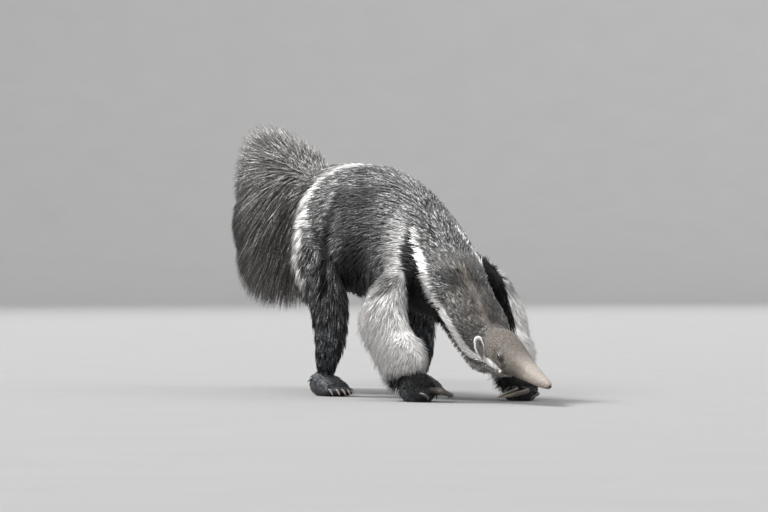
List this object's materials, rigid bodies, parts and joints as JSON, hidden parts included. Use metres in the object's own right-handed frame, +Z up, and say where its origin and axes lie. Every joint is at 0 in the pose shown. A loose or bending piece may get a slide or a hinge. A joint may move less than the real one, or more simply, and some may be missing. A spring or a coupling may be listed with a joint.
{
  "type": "giant anteater",
  "caption": "Still life-size giant anteater standing with its head lowered to drink: long tapering snout, bushy hanging tail, pale forelegs and a dark slanting shoulder stripe.",
  "frame": {"origin": "on the floor, under the middle of the box round the whole animal", "axes": "+Z up; +Y from the nose towards the tip of the tail; +X to the animal's left"},
  "size_m": [0.541, 2.1904, 0.8026],
  "materials": {
    "grey_coat": "matte",
    "tail_coat": "matte",
    "face_coat": "matte",
    "ear_coat": "matte",
    "dark_coat": "matte",
    "white_coat": "matte",
    "foot_skin": "matte",
    "eye": "gloss",
    "claw": "satin"
  },
  "bodies": {
    "root": {"torso": "grey_coat", "neck": "grey_coat", "tail": "tail_coat", "head": "face_coat", "eye_right": "eye", "ear_right": "ear_coat", "eye_left": "eye", "ear_left": "ear_coat", "hindleg_right": "dark_coat", "hindfoot_right": "foot_skin", "foreleg_right": "white_coat", "forefoot_right": "foot_skin", "hindclaw_right_1": "claw", "hindclaw_right_2": "claw", "hindclaw_right_3": "claw", "hindclaw_right_4": "claw", "hindclaw_right_5": "claw", "foreclaw_right_1": "claw", "foreclaw_right_2": "claw", "foreclaw_right_3": "claw", "foreclaw_right_4": "claw", "hindleg_left": "dark_coat", "hindfoot_left": "foot_skin", "foreleg_left": "white_coat", "forefoot_left": "foot_skin", "hindclaw_left_1": "claw", "hindclaw_left_2": "claw", "hindclaw_left_3": "claw", "hindclaw_left_4": "claw", "hindclaw_left_5": "claw", "foreclaw_left_1": "claw", "foreclaw_left_2": "claw", "foreclaw_left_3": "claw", "foreclaw_left_4": "claw"}
  },
  "joints": []
}
